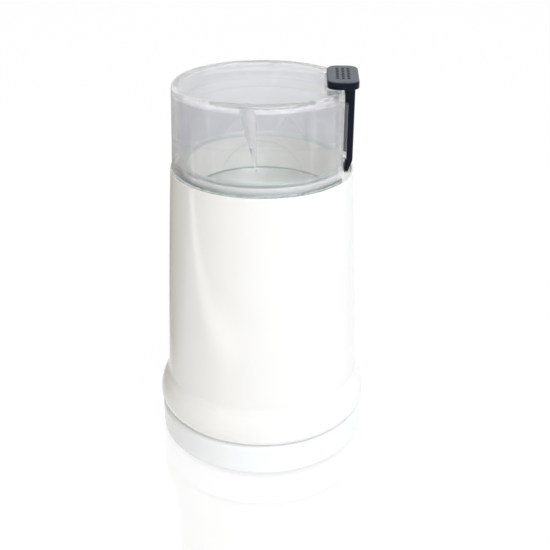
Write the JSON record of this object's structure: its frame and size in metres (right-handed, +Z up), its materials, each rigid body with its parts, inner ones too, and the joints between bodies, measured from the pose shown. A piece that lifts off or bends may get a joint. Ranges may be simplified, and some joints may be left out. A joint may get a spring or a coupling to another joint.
{
  "type": "electric spice grinder",
  "caption": "Upright blade grinder: a flared housing with a stainless bowl, a clear lift-off lid, and a push key on the lid that works the motor's switch.",
  "frame": {"origin": "middle of the footprint, on the surface that the grinder stands on", "axes": "+Z up along the spindle, +X towards the push key, +Y towards the cord inlet at the back"},
  "size_m": [0.1012, 0.1012, 0.1807],
  "materials": {
    "housing_abs": "glossy moulded ABS, warm white",
    "base_abs": "glossy moulded ABS, cool white",
    "rubber": "matt black rubber",
    "screw_steel": "zinc-plated steel",
    "bowl_steel": "drawn stainless steel, polished",
    "brass": "turned brass",
    "clear_styrene": "clear glossy styrene",
    "key_abs": "glossy blue-black ABS",
    "white_nylon": "natural nylon",
    "red_nylon": "red nylon",
    "spring_steel": "bright spring steel",
    "plated_steel": "zinc-plated sheet steel",
    "black_phenolic": "moulded phenolic",
    "cast_aluminium": "die-cast aluminium",
    "sintered_bronze": "oiled sintered bronze",
    "lamination_steel": "stacked silicon-steel sheets",
    "copper_wire": "enamelled copper wire",
    "copper_bar": "bright copper bars",
    "ground_steel": "ground steel",
    "carbon": "pressed graphite",
    "blade_steel": "stainless steel",
    "yellow_epoxy": "cast epoxy"
  },
  "bodies": {
    "housing": {"housing_shell": "housing_abs", "base_cover": "base_abs", "rubber_feet": "rubber", "base_screws": "screw_steel", "cord_inlet_bush": "rubber", "grinding_bowl": "bowl_steel", "bowl_gasket": "rubber", "bowl_clamp_bush": "brass", "bowl_clamp_nut": "screw_steel", "return_spring": "spring_steel", "switch_bracket": "plated_steel", "switch_screws": "screw_steel", "switch_body": "black_phenolic", "switch_terminals": "brass", "upper_bracket": "cast_aluminium", "lower_bracket": "cast_aluminium", "upper_bearing": "sintered_bronze", "lower_bearing": "sintered_bronze", "stator_core": "lamination_steel", "field_coils": "copper_wire", "brush_holders": "brass", "carbon_brushes": "carbon", "brush_springs": "spring_steel", "motor_bolts": "screw_steel", "motor_nuts": "screw_steel", "mount_bushes": "rubber", "mount_screws": "screw_steel", "terminal_block": "white_nylon", "terminal_screws": "screw_steel", "suppressor_capacitor": "yellow_epoxy"},
    "rotor": {"motor_shaft": "ground_steel", "armature_core": "lamination_steel", "armature_windings": "copper_wire", "commutator": "copper_bar", "thrust_washers": "ground_steel", "cutting_blade": "blade_steel", "blade_nut": "blade_steel", "slinger_washer": "rubber"},
    "lid": {"clear_lid": "clear_styrene"},
    "key": {"push_key": "key_abs"},
    "plunger": {"plunger_rod": "white_nylon"},
    "lever": {"switch_lever": "spring_steel"},
    "button": {"switch_button": "red_nylon"}
  },
  "joints": [
    {"name": "rotor_spin", "type": "hinge", "parent": "housing", "child": "rotor", "pos_m": [0, 0, 0.0729], "axis": [0, 0, 1], "continuous": true},
    {"name": "lid_lift", "type": "slide", "parent": "housing", "child": "lid", "axis": [0, 0, 1], "range_m": [0, 0.05]},
    {"name": "key_press", "type": "slide", "parent": "lid", "child": "key", "axis": [0, 0, -1], "range_m": [0, 0.0039], "stiffness_N_per_m": 300, "springref_m": -0.002},
    {"name": "plunger_slide", "type": "slide", "parent": "housing", "child": "plunger", "axis": [0, 0, -1], "range_m": [0, 0.0039], "stiffness_N_per_m": 300, "springref_m": -0.002, "deforming": ["return_spring"]},
    {"name": "lever_tilt", "type": "hinge", "parent": "housing", "child": "lever", "pos_m": [0.0363, -0.0106, 0.0873], "axis": [-1, 0, 0], "range_deg": [0, 17.5], "stiffness_Nm_per_rad": 0.002},
    {"name": "button_press", "type": "slide", "parent": "housing", "child": "button", "axis": [0, 0, -1], "range_m": [0, 0.0014], "stiffness_N_per_m": 100}
  ],
  "couplings": [
    {"joint": "plunger_slide", "follows": "key_press", "ratio": 1},
    {"joint": "lever_tilt", "follows": "key_press", "rad_per_m": 78.3},
    {"joint": "button_press", "follows": "key_press", "ratio": 0.3589}
  ]
}
